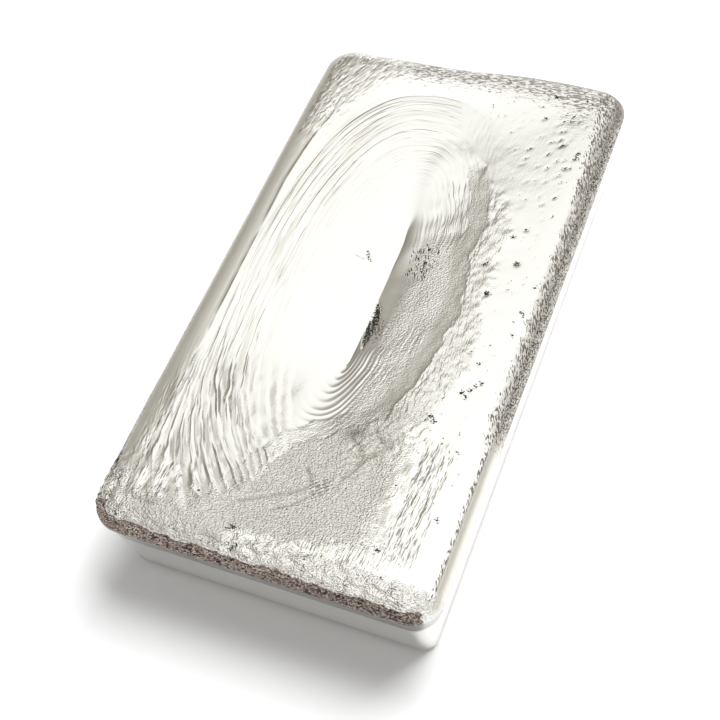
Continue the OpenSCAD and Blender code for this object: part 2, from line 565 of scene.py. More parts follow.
SHORE = (  # the shore between the sink and the skin that set last, from the far end
    (-4, 52), (0, 42), (2, 36), (5, 32), (8.8, 28.9), (11.5, 23), (13.1, 16), (12, 10),
    (13.6, 5), (14.5, -1), (13.1, -11), (10.3, -22), (3.8, -26), (-1.5, -30), (-4.8, -36.5),
    (-8.5, -42), (-14, -45.5), (-21, -47.5), (-28, -52),
)
SHOULDER = (  # the inner edge of the dull left shoulder, from the near end
    (-22.9, -21), (-23.2, -12), (-23.4, 5), (-23.6, 17), (-23.2, 22), (-22.5, 28),
    (-21.4, 33.5), (-19, 38), (-16, 42), (-13, 45), (-8, 48), (0, 52),
)
PITS = (  # the middle and radius of each pit that stands out
    (18.0, 15.0, 0.5), (19.6, 16.8, 0.4), (20.2, 10.0, 0.6), (15.4, 8.8, 0.5),
    (17.5, 3.2, 0.6), (23.8, 1.1, 0.4), (24.2, 0.6, 0.3), (24.2, 6.2, 0.4),
    (23.7, -3.4, 0.4), (20.4, -9.6, 0.4), (21.9, -12.8, 0.4), (21.2, -13.6, 0.4),
    (20.6, -14.4, 0.4), (19.6, -15.1, 0.4), (20.4, -15.5, 0.35), (16.4, -20.2, 0.5),
    (17.2, -20.9, 0.5), (16.0, -21.0, 0.4), (22.5, -25.0, 0.3), (23.1, -36.0, 0.4),
    (16.6, -42.7, 0.5), (23.0, 34.2, 0.5), (23.0, 33.0, 0.5), (21.8, 30.8, 0.4),
    (19.2, 36.6, 0.5), (19.8, 35.6, 0.5), (16.0, 46.0, 0.5), (18.8, 42.6, 0.4),
    (20.0, 42.4, 0.4), (20.0, 41.2, 0.5), (21.2, 41.4, 0.4), (15.4, 41.0, 0.4),
    (21.2, 46.4, 0.4), (22.8, 20.4, 0.3), (22.0, 24.4, 0.3), (-4.6, -45.8, 0.6),
    (-5.3, -46.3, 0.3), (-3.6, -48.9, 0.5), (-2.8, -48.3, 0.4), (-22.6, -49.0, 0.4),
    (-20.2, -48.1, 0.3), (-24.4, -43.8, 0.35), (-25.1, -46.6, 0.4), (-12.0, -42.0, 0.3),
)
BOLD_RINGS = {  # the strength of the rings that stand out, by number from the edge
    0: 1.5, 1: 1.2, 2: 0.7, 4: 1.1, 5: 0.9, 8: 0.7, 11: 0.6,
}
FOLDS = (  # start, slope, bend and number, for the folds that bound a group
    (-25.6, 0.00, 0.000, 0.5), (-24.0, 0.00, 0.000, 1.5), (-22.4, 0.00, 0.000, 2.5),
    (-21.1, 0.05, 0.0125, 5.5), (-19.4, 0.15, 0.025, 8.5), (-15.6, 0.20, 0.020, 10.5),
    (-13.4, 0.35, 0.018, 13.5), (-9.5, 0.28, 0.022, 15.5), (-6.0, 0.30, 0.022, 17.5),
)
CREASES = (  # paths of the long creases in the near floor
    ((-5.8, -41.4), (-2.5, -39.6), (0.0, -38.2), (1.7, -37.4), (3.0, -36.0)),
    ((-0.6, -41.2), (1.7, -39.8), (3.4, -38.0), (4.2, -37.2)),
    ((1.6, -33.2), (3.2, -35.3)),
    ((7.4, -33.6), (8.6, -31.4), (9.8, -29.6), (11.6, -27.4), (13.4, -24.2)),
    ((6.2, -26.8), (8.2, -27.6), (9.0, -29.4)),
    ((9.2, -24.4), (10.6, -26.2), (12.4, -27.0)),
)
ARCS = (  # the middle and radius of each set of small round arcs in the near floor
    (-2.3, -34.0, 1.6), (-3.9, -40.2, 1.7),
)
SPLASH = ((-4.8, 7.8), (-3.9, 6.3))
SPLASH_TAIL = ((-3.9, 6.3), (-5.0, 6.0), (-6.3, 6.3))


def rim_inset(x, y):
    """How far a place lies inside the rim's outline: the corner arc's radius less
    the distance past the arc's centre."""
    over_x = np.maximum(np.abs(x) - BAR_W / 2 + CORNER_R, 0)
    over_y = np.maximum(np.abs(y) - BAR_L / 2 + CORNER_R, 0)
    return CORNER_R - np.hypot(over_x, over_y)


def inside_rim(x, y):
    """The field of all that lies inside the rim's round, faded out over its crest."""
    return smooth(1.2, 2.8, rim_inset(x, y))


def shore_distance(x, y):
    """Distance from the ragged shore, positive on the skin that set last."""
    ragged_x = x + 0.9 * rough(x / 3.5, y / 3.5, 3)
    ragged_y = y + 0.9 * rough(x / 3.5, y / 3.5, 4)
    return signed_distance(ragged_x, ragged_y, SHORE)


def ring_relief(x, y, shore, phase, ring, sink):
    """Terraces of the sink's rings: a swell over each row's place between two
    grooves, times the ring's own strength. They are bolder where they turn at the
    near end, and broken up on the slope to the shore."""
    strength = np.random.default_rng(5).uniform(0.4, 0.9, sink.rings)
    for index, bold in BOLD_RINGS.items():
        strength[index] = bold
    own = strength[ring][:, None]
    swell = np.interp(phase, [0, 0.13, 0.5, 0.87, 1], [-0.9, 0.2, 0.45, 0.25, -0.9])[:, None]
    faded = np.clip(0.75 + 0.8 * noise(x / 9, y / 12, 54), 0.1, 1.4)
    left = 0.95 * smooth(-10, -16, x) + 0.3 * smooth(8, 20, y) * smooth(2, -6, x)
    left = own * faded * smooth(-30, -16, y) * left
    near_turn = 0.6 * smooth(-9, -14, y) * band(x, -3.5, 4.6, 2.6) * smooth(-31, -27, y)
    slope = smooth(1, 4, x) * band(y, -24, 30, 6) * smooth(-2.2, -4.2, shore)
    slope = slope * np.maximum(smooth(-3, -8, y), 0.9 * smooth(8, 14, y))
    slope = slope * np.clip(0.35 + 1.2 * rough(x / 3.2, y / 5.5, 53, 2), 0, 1.3)
    slope = slope * (0.3 + 1.1 * (ring % 2))[:, None]
    return sink.ring_relief * swell * (left + near_turn + slope)


def fold_place(x, y):
    """Which fold a place lies on, counted from the left, and the folds' spacing in
    mm. A marked fold is the parabola x = start + slope d + bend d^2, with d the way
    down from the starts, and the folds between two marked ones share their gap evenly."""
    down = FOLDS_FROM - y
    edges = [start + slope * down + bend * np.maximum(down, 0) ** 2
             for start, slope, bend, _ in FOLDS]
    count, spacing = np.full_like(x, FOLDS[0][3]), np.full_like(x, 1.6)
    for k in range(len(FOLDS) - 1):
        gap, number = edges[k + 1] - edges[k], FOLDS[k + 1][3] - FOLDS[k][3]
        share = (x - edges[k]) / gap
        count += number * np.clip(share, 0, 1)
        spacing = np.where((share >= 0) & (share < 1), gap / number, spacing)
    return count, spacing


def near_folds(x, y):
    """Long folds that fan out from the left shoulder to the near left corner: round
    backs, the third power of |cos|, over flat valleys. Short ones cross where the
    upright ones meet the fan. Also the folds' backs, 0 to 1, and where they lie."""
    frayed = 0.8 * noise(x / 1.5, y / 1.5, 77)
    count, spacing = fold_place(x + 0.35 * rough(x / 3, y / 5, 71, 2), y)
    backs = np.abs(np.cos(np.pi * (count + 0.12 * noise(y / 2.5, count / 2, 78)))) ** 3
    strength = np.clip(0.95 + 0.6 * noise(y / 7, count / 1.3, 72), 0.55, 1.35)
    strength = strength * mix(1.0, 0.4, smooth(-16, -11, x) * smooth(-31, -24, y))
    fan = 0.15 * backs + 0.06 * crinkle(y / 7, count * 2.1, 75)
    fan = np.minimum(spacing, 2.0) * strength * fan
    turned_x, turned_y = turned_place(x, y, (0, 0), (0.64, -0.77))
    short = 0.15 * crinkle(turned_x / 2.4, turned_y / 0.9, 73)
    short = short + 0.12 * crinkle(y / 2.6, x / 0.8, 74)
    meeting = band(x, -20.8, -15.5, 1.0) * band(y, -46.5, -39.0, 1.4)
    foot = np.interp(x, [-20, -15, -10, -5.7, -3.5, -2], [-47.0, -45.8, -43.0, -38.5, -32.0, -28])
    zone = smooth(-2, -6, x) * smooth(-12, -23, y) * smooth(-1.6, 0.4, y - foot + frayed)
    zone = zone * smooth(-25.2, -24.2, x)
    return zone * mix(fan, short, meeting), backs, zone


def scales(x, y):
    """Short dashes that follow the rings round the far left corner and run along
    the far side."""
    along, out = ring_place(x, y)
    dashes = noise(along / 1.2, out / 0.42, 81) + 0.5 * noise(along / 0.7, out / 0.3, 82)
    far_left = smooth(18.6, 20.4, out) * smooth(20, 32, y) * smooth(0, -10, x)
    far_side = smooth(40, 47, y) * smooth(-12, -4, x)
    side_dashes = noise(x / 1.2, y / 0.40, 83)
    return inside_rim(x, y) * (0.08 * dashes * far_left + 0.045 * far_side * side_dashes)


def right_fur(x, y):
    """Short slanting strokes on the right shoulder."""
    where = smooth(24.4, 26.0, x + 0.8 * noise(y / 1.6, x / 3, 91)) * smooth(-24, -20, y)
    return 0.04 * where * strokes(x, y, 112, 1.2, 0.4, 92)


def creamy_field(x, y, shore):
    """The wrinkled skin behind the shore, up to its own wandering edge."""
    wander = 1.2 * rough(x / 3, y / 4, 23, 3)
    edge = np.interp(y, [-22, -16, -10, -5, 0, 5, 10, 16, 22, 27],
                     [17.6, 18.2, 19.3, 19.5, 17.4, 17.8, 16.8, 17.2, 15.0, 12.0])
    return smooth(-0.05, 0.15, shore) * smooth(1.2, -1.2, x - edge + wander) * band(y, -24, 22, 4)


def skin_relief(x, y, shore):
    """The skin that set last: a sharp crest at the shore, lumps and flowing streaks
    behind it, and an almost smooth band before the right shoulder."""
    rise = np.clip((shore + 3.4) / 3.4, 0, 1) ** 1.6 * smooth(10, 0, shore)
    bank = rise * smooth(-31, -20, y) * smooth(40, 19, y)
    crest = bell(shore - 0.15, 0.3) * band(y, -24, 28, 4)
    lumps = 0.14 * rough(x / 1.9, y / 2.6, 21) + 0.08 * crinkle(x / 1.2, y / 1.9, 22)
    flow = 0.07 * strokes(x, y, 100, 2.2, 0.5, 24) + 0.05 * strokes(x, y, 80, 1.4, 0.35, 25)
    slope = smooth(-2.4, -3.6, shore) * smooth(4.0, 8.0, x) * band(y, -25, 30, 4)
    slope = slope * np.maximum(smooth(-2, -7, y), 0.6 * smooth(6, 11, y))
    broken = 0.012 * strokes(x, y, 76, 2.4, 0.55, 28) + 0.007 * crinkle(x / 0.9, y / 2.2, 29)
    ridges = 0.06 * strokes(x, y, 38, 3.0, 0.6, 26) * smooth(-6, -12, y)
    upper = smooth(0, 2, shore) * smooth(20, 30, y) * smooth(24, 21, x)
    return (BANK_RISE * bank + 0.05 * crest + creamy_field(x, y, shore) * (lumps + flow)
            + slope * (broken + ridges) + upper * 0.014 * strokes(x, y, 96, 2.6, 0.5, 27))


def floor_field(x, y, shore):
    """The satin floor of the near end: from the shore and the folds' ends to the
    ridges at its right, and down to the crumbs before the front rim."""
    frayed = 1.4 * rough(x / 2.5, y / 2.5, 114) + 0.8 * noise(x / 0.7, y / 1.6, 115)
    bottom = np.interp(x, [-10, -4, 4, 8, 14], [-48.0, -46.6, -46.0, -44.2, -43.6])
    soft = mix(2.2, 0.6, smooth(-4, -1, x))
    inside = smooth(-soft, 0.4, shore + 0.3 * soft * frayed) * smooth(-15, -21, y)
    inside = inside * smooth(18.5, 11.5, x + 1.3 * frayed)
    return inside * smooth(-1.0, 0.8, y - bottom + mix(0.8, 1.5, smooth(2, 6, x)) * frayed)


def strip_field(x, y):
    """The wrinkled strip between the folds' ends and the front rim."""
    upper_edge = smooth(-43.6, -46.0, y + rough(x / 2, y / 2, 144))
    return upper_edge * band(x, -22, -4, 2.5) * smooth(-50.5, -49.5, y)


def crumb_field(x, y):
    """The crumbly skin before the front rim and in the near left corner."""
    foot = np.interp(x, [-20, -10, -4, 10, 20], [-48.0, -48.0, -46.6, -46.0, -46.5])
    foot = foot + 0.8 * rough(x / 1.5, y / 1.5, 145)
    return np.maximum(smooth(0.8, -0.8, y - foot),
                      smooth(-21.5, -23.5, x) * smooth(-38, -41, y))


def crumb_relief(x, y):
    """Crumbs and pits of a millimetre and less, mostly sunk below the surface."""
    lumps = 0.38 * rough(x / 1.6, y / 1.2, 112) + 0.22 * crinkle(x / 1.6, y / 1.2, 113) - 0.16
    wrinkles = 0.10 * crinkle(x / 1.6, y / 1.3, 117) + 0.06 * rough(x / 0.9, y / 0.9, 118) - 0.05
    return crumb_field(x, y) * np.minimum(lumps, 0.2) + strip_field(x, y) * wrinkles


def crease_lines(x, y):
    """The long creases of the near floor: a bell across each path."""
    wavy = x + 0.3 * noise(x / 1.5, y / 1.5, 108)
    return np.maximum.reduce([bell(signed_distance(wavy, y, path), 0.22) for path in CREASES])


def ridge_reach(y):
    """How far the ridges at the near right reach along the bar, as a field."""
    return smooth(-22, -27, y) * smooth(-46, -43, y)


def near_relief(x, y, shore):
    """The near end: fine wrinkles, creases and arcs on the satin floor, waves beside
    the shore, and at its right dashed grooves along the bar, a high power of |cos|."""
    wrinkles = 0.05 * crinkle(x / 1.6, y / 1.6, 101) + 0.045 * rough(x / 0.9, y / 0.9, 102)
    height = floor_field(x, y, shore) * wrinkles - CREASE_DEPTH * crease_lines(x, y)
    for at_x, at_y, radius in ARCS:
        away = np.hypot(x - at_x, y - at_y)
        beside = bump(x, y, at_x, at_y + 0.8 * radius, 0.6 * radius)
        height += 0.13 * np.cos(2 * np.pi * away / 0.62) * beside
    along, across = turned_place(x, y, (11.3, -27), (0.66, 0.75))
    contours = band(across, -2.2, 2.6, 0.8) * band(along, -5.5, 6.5, 1.5)
    wave = (across - 0.8 * rough(x / 2.5, y / 2.5, 109, 2)) / 1.15
    height += CONTOUR_RISE * contours * np.cos(2 * np.pi * wave)
    grooves = -np.abs(np.cos(np.pi * (x + 0.4 * rough(x / 4, y / 6, 104, 2)) / 1.35)) ** 5
    dashed = np.clip(0.35 + 1.3 * noise(y / 1.8, x / 1.4, 105), 0, 1)
    height += RIDGE_DEPTH * band(x, 16.8, 22.2, 0.8) * ridge_reach(y) * dashed * grooves
    drawn = band(x, 12.0, 17.5, 1.2) * band(y, -46, -27, 2)
    return height + 0.07 * drawn * strokes(x, y, 88, 1.4, 0.42, 103)


def ground_fall(x, y, z):
    """The hollowed face's level with its broad falls. The near end's floor is the
    lower of the sink and a plane that falls from the front crest, blended over
    0.3 mm, and the far left corner and the far part drop away as wide bells."""
    lift = 3.0 * (smooth(11, 23, x) + smooth(-7, -15, x)) + 9.0 * smooth(-31, -12, y)
    plane = CREST_Z - 0.1 - 0.055 * (y + 46.0) + lift
    lower = 0.5 * (z + plane - np.sqrt((z - plane) ** 2 + 0.3 ** 2))
    flatter = smooth(8.5, 1.0, x) * smooth(-3.0, 1.0, x) * smooth(4, 11, y) * smooth(34, 27, y)
    return (lower + 0.30 * flatter - 0.45 * bump(x, y, -BAR_W / 2, BAR_L / 2, 9.0)
            - 0.35 * bump(x, y / 2, -8, BAR_L / 4, 8.0))


def crease_relief(x, y, trough_x):
    """Beside the trough: a narrow pocket at its right, painted black as its shadow, a
    hollow at the near end of the rings, and the small marks that splashes left. Also
    the fields of their black (the pocket's painted shadow and the splash marks) and of
    the painted shade that darkens the hollow."""
    right = trough_x + np.interp(y, [-10.3, -8.3, -5.5, -4.3, -1.8, -0.6],
                                 [1.0, 1.3, 1.6, 1.7, 0.9, 0.0])
    left = trough_x + np.interp(y, [-10.3, -7.5, -6.0], [0.9, 0.2, 0.0])
    ragged = 0.2 * noise(x / 0.3, y / 0.9, 116)
    pocket = smooth(-0.1, 0.1, x - left) * smooth(0.2, -0.1, x - right + ragged)
    pocket = pocket * band(y, -10.2, -0.8, 0.2)
    speckled = bump(x / 1.6, y / 2.2, (trough_x + 2.2) / 1.6, -6.5 / 2.2, 1.0)
    along, across = turned_place(x, y, (6.2, -25.6), (0.85, 0.53))
    # The hollow's bell, also the field of the painted shade that darkens it.
    shaded_hollow = bump(along / 1.8, across, 0, 0, 1.0)
    splash = bell(signed_distance(x, y, SPLASH), 0.24)
    tail = bell(signed_distance(x, y, SPLASH_TAIL), 0.16)
    mark = bump(x, y, -6.9, -1.4, 0.35)
    height = 0.10 * splash + 0.10 * tail + 0.06 * mark
    height = height - POCKET_DEPTH * pocket - SHADED_HOLLOW_DEPTH * shaded_hollow
    # Painted shadow: the pocket and the speckles beside it, painted black through the pit colour.
    streaky = pocket * np.clip(0.66 + 0.8 * strokes(x, y, 97, 2.2, 0.28, 119), 0, 1)
    return height, np.maximum.reduce([streaky, 0.45 * speckled, 0.6 * splash]), 0.75 * shaded_hollow


def shoulder_step(x, y):
    """Distance from the left shoulder's inner edge, positive on the shoulder, and
    the field of where that edge is a sharp step."""
    patchy = np.clip(0.7 + 0.8 * noise(y / 4, x / 4, 148), 0, 1)
    return signed_distance(x, y, SHOULDER), band(y, -14, 34, 3) * smooth(-16, -20, x) * patchy


def pit_field(x, y, shore):
    """The pits: bells at the marked places and, by a high noise, a scatter of specks
    over the skin, thicker towards the far right corner."""
    marked = sum(bump(x, y, at_x, at_y, 0.8 * radius) for at_x, at_y, radius in PITS)
    specks = smooth(0.55, 0.80, noise(x / 0.8, y / 0.6, 121)) * smooth(3, 6, shore)
    specks = specks * smooth(24.5, 23, x)
    thick = smooth(24, 34, y) * smooth(12, 17, x)
    return np.clip(marked + specks * mix(0.4, 0.9, thick), 0, 1)


def crust_field(x, y, z):
    """The dark scab along the front rim and round the near left corner, with a
    ragged upper edge."""
    ragged = 0.9 * rough(x / 1.6, y / 1.6, 131) + 0.5 * noise(x / 5, y / 5, 132)
    top = CREST_Z - mix(0.90, 0.45, smooth(-17, -22, x))
    front = smooth(-47.0, -48.0, y + 0.5 * ragged) * smooth(top, top - 0.4, z + 0.4 * ragged)
    front = front * smooth(26.6, 24.8, x + 0.8 * ragged) * mix(1.0, 0.80, smooth(-4, 4, x))
    left = smooth(-25.8, -26.6, x + 0.5 * ragged) * smooth(-32, -40, y)
    return np.maximum(front, left * smooth(-0.05, 0.35, ragged))


def satin_and_shade_field(x, y, shore, side, backs, fold_zone):
    """The dull skin and painted shade: the left shoulder with its sharp inner edge, wider at the
    far corner and streaky at the near one, the folds' valleys as painted shade, the near floor, the
    bank under the shore with its shade painted in, and, half dull, the creamy skin behind it."""
    inner = smooth(-0.1, 0.15, side) * smooth(0, -8, x)
    inner = inner * mix(1.0, 0.5, smooth(22, 32, y) * inside_rim(x, y))
    streaky = smooth(-22.0, -24.4, x + 1.4 * noise(x / 0.45, y / 3.5, 142))
    streaky = streaky * smooth(-45.0, -39.0, y)
    # Painted shade: the valleys between the folds' backs get the darker satin colour.
    valleys = smooth(0.6, 0.1, backs) * smooth(-0.7, 0.5, noise(x / 1.5, y / 5, 143))
    # Painted shade: the bank under the shore gets the darker satin colour as well as its dullness.
    bank = smooth(-3.6, -2.8, shore) * smooth(0.1, -0.1, shore) * band(y, -22, 27, 3)
    creamy = creamy_field(x, y, shore)
    beside_trough = band(x, 1.0, 7.0, 1.2) * band(y, -4, 9, 2.5) * (1 - creamy)
    drawn = band(x, 13.0, 17.5, 1.5) * band(y, -43.5, -27, 3)
    drawn = drawn * np.clip(0.35 + 1.1 * strokes(x, y, 88, 3.0, 0.55, 151), 0, 0.9)
    right_edge, far_edge = smooth(26.0, 26.8, x), smooth(46.5, 50, y)
    dust = mix(0.05, 0.40, smooth(-22, -17, x)) * crumb_field(x, y)
    return np.maximum.reduce([
        mix(inner, streaky, smooth(-12, -22, y)), fold_zone * (0.25 + 0.45 * valleys),
        0.58 * floor_field(x, y, shore), 0.62 * bank, 0.5 * creamy, 0.32 * beside_trough,
        0.7 * right_edge, 0.25 * far_edge, 0.6 * strip_field(x, y), dust, drawn])


def fringe_field(x, y):
    """The strokes along the right shoulder, thin before y = -22, where only a
    dotted line is left."""
    frayed = x + 0.7 * noise(y / 1.3, x / 3, 91) + smooth(20, 36, y) + 1.2 * smooth(36, 47, y)
    thick = smooth(24.4, 26.2, frayed) * mix(0.56, 0.38, smooth(26.0, 26.8, x))
    dotted = 0.45 * band(x, 25.9, 26.3, 0.15) * band(y, -47, -22, 1.5)
    return np.maximum(thick * smooth(-24, -20, y), dotted)


def grime_field(x, y):
    """The dirt that clings to the near left corner, the left shoulder and, over 1,
    the right shoulder."""
    corner = smooth(-46.5, -48.5, y) * smooth(-20, -23, x)
    left = smooth(-26.2, -27.0, x) * band(y, -45, -12, 5)
    right = smooth(26.0, 26.8, x) * band(y, -20, 46, 3)
    return np.maximum.reduce([0.5 * corner, left, 1.5 * right])


def streak_field(x, y):
    """The fine streaks along the bar: on the ridges at the near right and beside
    them, where the short folds cross, on the left shoulder's near end, and as a
    comb before the front rim."""
    ridges = np.maximum(band(x, 17.0, 22.2, 0.8), 0.5 * band(x, 12.5, 17, 1.5)) * ridge_reach(y)
    crossing = band(x, -23.5, -15.5, 1.2) * band(y, -46.5, -38.5, 1.5)
    shoulder = band(x, -25.5, -22.0, 0.8) * band(y, -40, -24, 4)
    comb_y = y + 0.8 * noise(x / 1.2, y / 4, 106)
    comb = band(x, 4, 18.5, 1.2) * band(comb_y, -46.0, -43.0, 0.5)
    return np.maximum.reduce([ridges, 0.85 * crossing, 0.75 * shoulder, 0.9 * comb])


def stain_and_shade_field(x, y, side, step, folded):
    """The even tarnish and painted shade: a line along the left shoulder's step, the right
    shoulder, a dark line at the far rim, the grime, and as painted shade the folds' valleys and the
    creases."""
    right = smooth(24.8, 26.0, x + 0.6 * noise(x / 0.8, y / 1.5, 146)) * smooth(-24, -18, y)
    far_rim = smooth(1.9, 1.2, rim_inset(x, y) + 0.3 * noise(x / 1.5, y / 1.5, 147))
    far_rim = far_rim * smooth(40, 46, y) * smooth(-20, -8, x)
    # Painted shade: the folds' valleys and the creases, darkened with the tarnish colour.
    return np.maximum.reduce([
        0.45 * step * bell(side - 0.05, 0.22), 0.30 * right, 0.7 * far_rim,
        0.2 * grime_field(x, y), 0.18 * folded, 0.34 * crease_lines(x, y)])


def ring_field(x, y, shore, slope, out):
    """The fine ring lines, painted shadow lines in the colour and grooves in the bump: over the
    sink's left and far parts and, broken in two, over the slope to the shore. They end a little
    way out past the sink's edge."""
    far = 0.5 * smooth(8, 22, y) * smooth(4, 11, out)
    left = smooth(-5, -14, x) * smooth(8, 15, out) * smooth(-28, -18, y)
    on_slope = slope * np.maximum(0.4 * smooth(-2, -7, y), 0.8 * smooth(8, 14, y))
    return (np.maximum.reduce([far, left, on_slope])
            * smooth(19.2, 18.4, out) * smooth(0.2, -0.4, shore))


def washboard_field(x, y):
    """The small washboard among the creases: exp(-(along / 1.8)^4 - (across / 1.25)^4)."""
    along, across = turned_place(x, y, (4.9, -35.9), (0.79, 0.62))
    return np.exp(-(along / 1.8) ** 4 - (across / 1.25) ** 4)


def mark_fields(x, y, shore, side, out, backs, fold_zone):
    """The fields of the marks that only the material shows. The way out from the
    sink's middle, the folds' backs and where they lie are worked out before."""
    floor, strip, crumbs = floor_field(x, y, shore), strip_field(x, y), crumb_field(x, y)
    slope = smooth(2.5, 6, x) * smooth(-1.6, -3.0, shore) * band(y, -24, 26, 4)
    bank = smooth(-3.4, -2.8, shore) * smooth(0.1, -0.1, shore)
    clumps = np.clip(0.6 + 1.0 * noise(x / 2.2, y / 1.3, 149), 0.1, 1.2)
    clumps = clumps * mix(0.2, 1.0, smooth(-22, -18, x))
    corner = smooth(-3.2, 0.8, side) * smooth(0, -10, x) * smooth(22, 34, y)
    corner = corner * inside_rim(x, y)
    fading = mix(1.0, 0.6, smooth(-16, -10, x)) * mix(0.4, 1.0, smooth(-20, -28, y))
    far_left = smooth(-20, -14, x) * smooth(0, -10, x) * smooth(41, 46, y)
    far_right = bump(x, y / 1.3, 21, 45 / 1.3, 3.5)
    far_skin = smooth(0, 3, shore) * smooth(14, 24, y) * smooth(5, 10, x)
    return {
        "satin_and_shade": satin_and_shade_field(x, y, shore, side, backs, fold_zone),
        "dirt": np.maximum(0.75 * crumbs * clumps, 0.35 * strip),
        "washboard": washboard_field(x, y),
        "streaky": band(x, 2.2, 7.6, 1.0) * band(y, 4.0, 11.5, 1.2),
        "streak": streak_field(x, y),
        "rings": ring_field(x, y, shore, slope, out),
        # The field of the folds' painted shade lines and of their fine bump.
        "fold": fold_zone * fading,
        "grain": np.maximum.reduce([floor, strip, 0.5 * slope * smooth(16, 8, y), 0.8 * crumbs,
                                    0.35 * bank * smooth(30, 22, y)]),
        "contour": np.maximum(floor, strip),
        "flow": np.maximum(creamy_field(x, y, shore), 0.12 * far_skin),
        "dash": np.maximum(corner, far_left),
        "far_dash": smooth(-18, -8, x) * smooth(42, 48, y) + 0.6 * far_right,
        "fur": fringe_field(x, y),
    }


def relief(laid, sink):
    """The height to raise each point by and the fields that the material reads.
    Marks of the hollowed face stay on it, and the others run down over the rim."""
    rows, part = laid["rows"], laid["part"]
    x, y, z = np.moveaxis(rows, -1, 0)
    face, upper = np.zeros_like(x), np.zeros_like(x)
    face[:part["shelf"].stop] = 1.0
    upper[:part["rim"].stop] = 1.0
    shore = shore_distance(x, y)
    side, step = shoulder_step(x, y)
    crease, black, shaded_hollow = crease_relief(x, y, laid["trough"][0, 0])
    folds, backs, fold_zone = near_folds(x, y)
    pits = pit_field(x, y, shore)
    crust = crust_field(x, y, z) * upper

    height = np.zeros_like(x)
    basin = part["sink"]
    terraces = ring_relief(x[basin], y[basin], shore[basin], laid["phase"], laid["ring"], sink)
    height[basin] = (1 - smooth(-0.3, 0.5, shore[basin])) * terraces
    height += face * (skin_relief(x, y, shore) + folds + near_relief(x, y, shore) + crease)
    height += upper * (scales(x, y) + right_fur(x, y))
    height += upper * smooth(LIP_Z, LIP_Z + 1.2, z) * crumb_relief(x, y)
    height -= face * PIT_DEPTH * pits
    scabs = 0.10 * rough(x / 1.5, (y + z) / 0.6, 141) - SCAB_DEPTH
    height += crust * smooth(LIP_Z, LIP_Z + 1.0, z) * scabs
    height += upper * step * STEP_RISE * bell(side + 0.45, 0.25)
    height -= upper * step * STEP_DEPTH * bell(side - 0.05, 0.25)

    # Painted shade: the folds' valleys, darker than their backs.
    folded = fold_zone * (0.3 + 0.7 * smooth(0.5, 0.1, backs))
    fields = mark_fields(x, y, shore, side, laid["drum"][..., 2], backs, fold_zone)
    fields["crust"] = crust
    # The pits, the pocket's painted shadow with the splash marks, and some grime.
    fields["pit"] = np.clip(pits + face * black + 0.28 * grime_field(x, y), 0, 1)
    # One field of tarnish, grime and painted shade: the hollow's, the folds' valleys' and the
    # creases' shade.
    fields["stain_and_shade"] = np.maximum(shaded_hollow, stain_and_shade_field(x, y, side, step, folded))
    return height, {key: upper * np.clip(field, 0, 1) for key, field in fields.items()}


def mesh_piece(name, laid, height, fields):
    """Raises the relief and makes the mesh, with each field as a point attribute."""
    rows = laid["rows"] + row_normals(laid["rows"]) * height[..., None]
    low = np.array([-BAR_W / 2, -BAR_L / 2, 0.0])
    rows = np.clip(rows, low, -low + [0, 0, BAR_H])
    points = np.concatenate([rows.reshape(-1, 3), laid["trough"], laid["spine"]]) * MM
    mesh = bpy.data.meshes.new(name)
    mesh.from_pydata(points, [], row_faces(len(rows)).tolist())
    mesh.polygons.foreach_set("use_smooth", np.ones(len(mesh.polygons), bool))
    ends = len(laid["trough"]) + len(laid["spine"])
    for key, field in fields.items():
        values = np.concatenate([field.ravel(), np.zeros(ends)]).astype(np.float32)
        mesh.attributes.new(key, "FLOAT", "POINT").data.foreach_set("value", values)
    drum = np.concatenate([laid["drum"].reshape(-1, 3), np.zeros((ends, 3))]).astype(np.float32)
    mesh.attributes.new("drum", "FLOAT_VECTOR", "POINT").data.foreach_set("vector", drum.ravel())
    mesh.update()
    mesh.validate()
    piece = bpy.data.objects.new(name, mesh)
    bpy.context.scene.collection.objects.link(piece)
    return piece


# Materials

NOISES = {  # the way it runs (a heading in degrees, or along the rings), cell in mm, detail
    "speckle": (0, 0.7, 0.30, 3.0),
    "fine": (15, 0.32, 0.22, 3.0),
    "blotches": (10, 1.3, 0.7, 2.0),
    "clouds": (30, 3.0, 1.6, 2.0),
    "hairs": (112, 0.9, 0.22, 1.0),
    "streaks": (88, 2.0, 0.38, 1.0),
    "far_dashes": (3, 1.0, 0.30, 1.0),
    "dashes": ("rings", 1.2, 0.40, 1.0),
    "fold_lines": ("rings", 7.0, 0.42, 1.0),
    "ring_lines": ("rings", 26.0, 0.9, 1.0),
}
OXIDE_AND_SHADOW_SPECKS = (  # field, noise, spread of the noise, ramp from, to, strength
    ("crust", "speckle", 0.9, 0.42, 0.58, 1.0),
    # The pit row also carries the pocket's painted shadow.
    ("pit", "fine", 3.0, 0.50, 0.62, 1.0),
    ("streaky", "hairs", 4.0, 1.25, 1.60, 1.0),
)
TARNISH_AND_SHADE_SPECKS = (
    ("fur", "hairs", 3.4, 0.50, 0.66, 1.0),
    ("far_dash", "far_dashes", 3.4, 0.85, 1.15, 0.8),
    # Painted shade: dark lines along the folds.
    ("fold", "fold_lines", 4.0, 1.30, 1.80, 0.6),
    ("streak", "streaks", 4.0, 1.30, 1.80, 0.75),
    ("dirt", "speckle", 4.0, 1.20, 1.40, 1.0),
)
